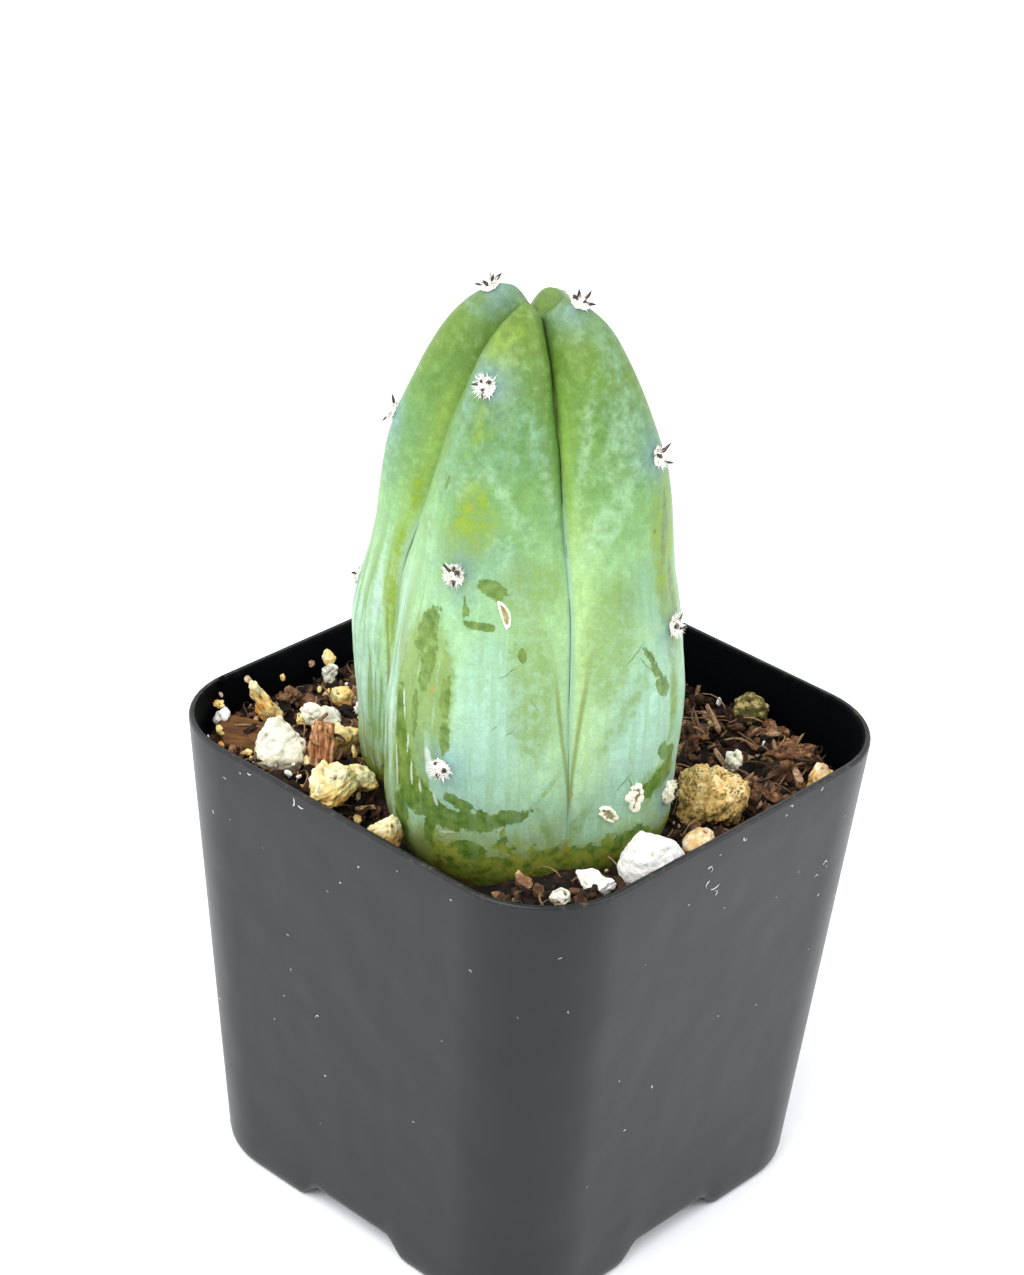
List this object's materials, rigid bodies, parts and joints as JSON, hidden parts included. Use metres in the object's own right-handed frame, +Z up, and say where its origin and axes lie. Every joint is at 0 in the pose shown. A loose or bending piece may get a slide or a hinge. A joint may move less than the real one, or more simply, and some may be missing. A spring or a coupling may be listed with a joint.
{
  "type": "potted blue candle cactus",
  "caption": "Ribbed blue-green columnar cactus growing in a square tapered dark plastic nursery pot with gritty soil, pumice, perlite and bark.",
  "frame": {"origin": "middle of the pot's footprint, on the surface it stands on", "axes": "+Z up; the pot's four sides face +X, -X, +Y and -Y; the cactus stands a little towards +X and -Y"},
  "size_m": [0.06, 0.06, 0.1131],
  "materials": {
    "pot": "dark grey moulded polypropylene, satin",
    "soil": "coir and peat, crumbly",
    "stem": "waxy glaucous skin",
    "areole": "white wool with dark spines",
    "pumice": "rough, pitted",
    "perlite": "rough, chalky",
    "bark": "fibrous"
  },
  "bodies": {
    "root": {"pot": "pot", "soil": "soil", "cactus_stem": "stem", "areole_left_1": "areole", "areole_left_2": "areole", "areole_left_3": "areole", "areole_left_4": "areole", "areole_front_1": "areole", "areole_front_2": "areole", "areole_front_3": "areole", "areole_right_1": "areole", "areole_right_2": "areole", "areole_right_3": "areole", "areole_right_4": "areole", "areole_back_1": "areole", "areole_back_2": "areole", "areole_back_3": "areole", "pumice_cream": "pumice", "pumice_yellow": "pumice", "pumice_brown": "pumice", "pumice_small_yellow": "pumice", "perlite_long": "perlite", "pumice_round": "pumice", "pebble_under": "pumice", "pebble_on_top": "pumice", "pumice_upright": "pumice", "perlite_corner": "perlite", "pumice_rim": "pumice", "pumice_green": "pumice", "pumice_tan": "pumice", "pumice_orange": "pumice", "perlite_big": "perlite", "perlite_front": "perlite", "perlite_small": "perlite", "perlite_crumb": "perlite", "pumice_wedge": "pumice", "pumice_back_tan": "pumice", "pumice_back_cream": "pumice", "perlite_back": "perlite", "pumice_back_yellow": "pumice", "perlite_back_small": "perlite", "pumice_back_brown": "pumice", "bark_flat": "bark", "bark_upright": "bark", "bark_chunk": "bark", "bark_lump": "bark", "bark_back": "bark"}
  },
  "joints": []
}
